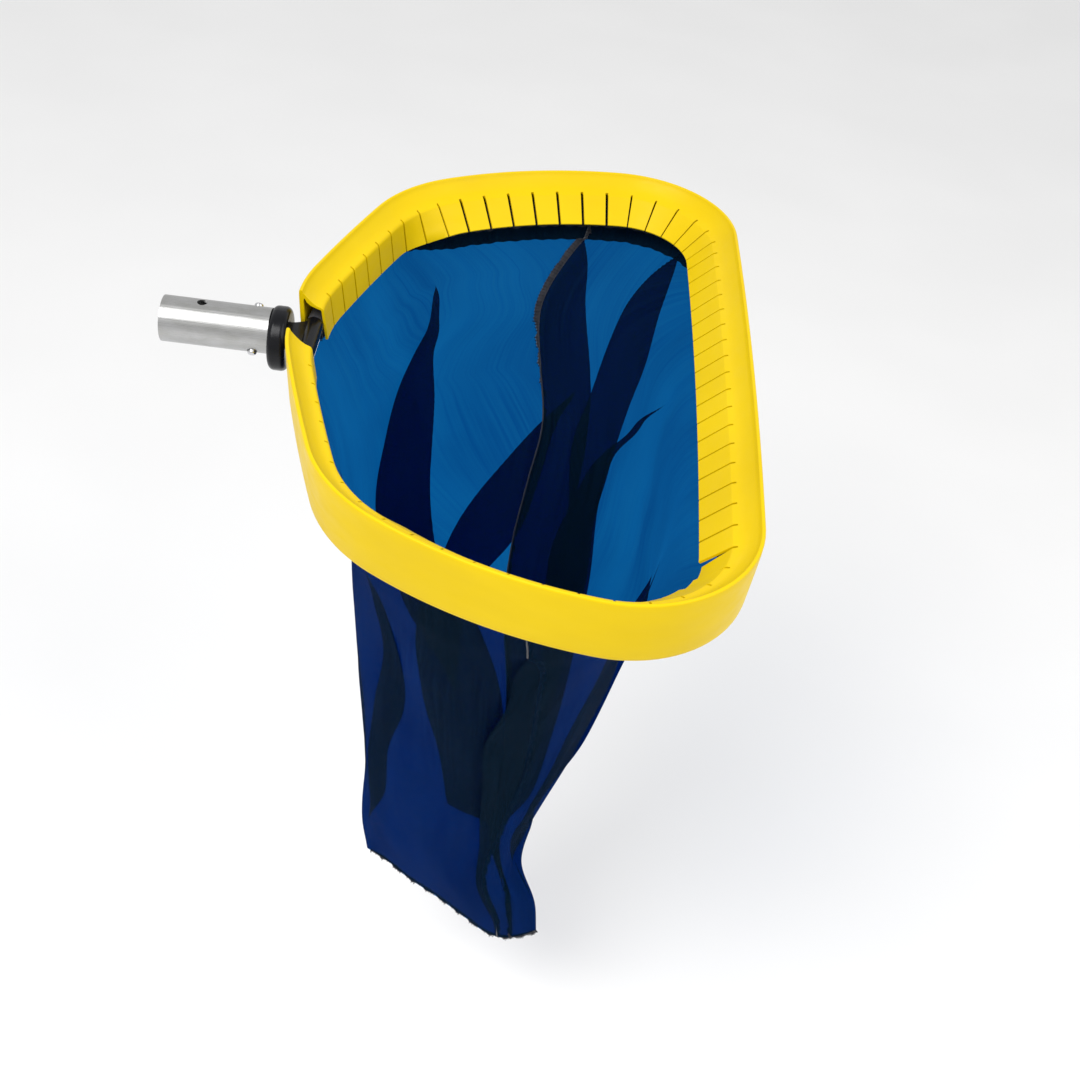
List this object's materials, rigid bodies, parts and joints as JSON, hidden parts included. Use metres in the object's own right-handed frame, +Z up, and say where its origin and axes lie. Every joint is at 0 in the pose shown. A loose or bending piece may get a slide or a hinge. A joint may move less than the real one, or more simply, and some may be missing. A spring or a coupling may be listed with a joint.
{
  "type": "leaf skimmer net",
  "caption": "Deep-bag leaf skimmer: a D-shaped slotted plastic scoop lip over a bent tube hoop, a sewn mesh bag, and a snap-button handle on a pole tip.",
  "frame": {"origin": "centre of the pole tip's open rear end, on the pole's axis", "axes": "+X along the pole towards the leading edge, +Z up out of the mouth of the bag, which hangs along -Z"},
  "size_m": [0.4043, 0.5222, 0.605],
  "materials": {
    "aluminium": "satin drawn tube",
    "black_plastic": "moulded, semi-gloss",
    "steel": "bright stainless",
    "spring_steel": "sprung strip",
    "yellow_plastic": "extruded, satin gloss",
    "binding": "woven binding tape",
    "net": "fine sheer mesh"
  },
  "bodies": {
    "root": {"pole_tube": "aluminium", "handle_yoke": "black_plastic", "frame_screws": "steel", "v_spring": "spring_steel", "frame_hoop": "aluminium", "scoop_lip": "yellow_plastic", "bag_hem": "binding", "net_front_panel": "net", "net_back_panel": "net", "side_seam_near": "binding", "side_seam_far": "binding", "bottom_seam": "net"},
    "upper_button": {"upper_button": "steel"},
    "lower_button": {"lower_button": "steel"}
  },
  "joints": [
    {"name": "upper_button_press", "type": "slide", "parent": "root", "child": "upper_button", "axis": [0, -0.766, -0.6428], "range_m": [0, 0.0042], "stiffness_N_per_m": 1500, "springref_m": -0.002, "deforming": ["v_spring"]},
    {"name": "lower_button_press", "type": "slide", "parent": "root", "child": "lower_button", "axis": [0, 0.766, 0.6428], "range_m": [0, 0.0042], "stiffness_N_per_m": 1500, "springref_m": -0.002, "deforming": ["v_spring"]}
  ]
}
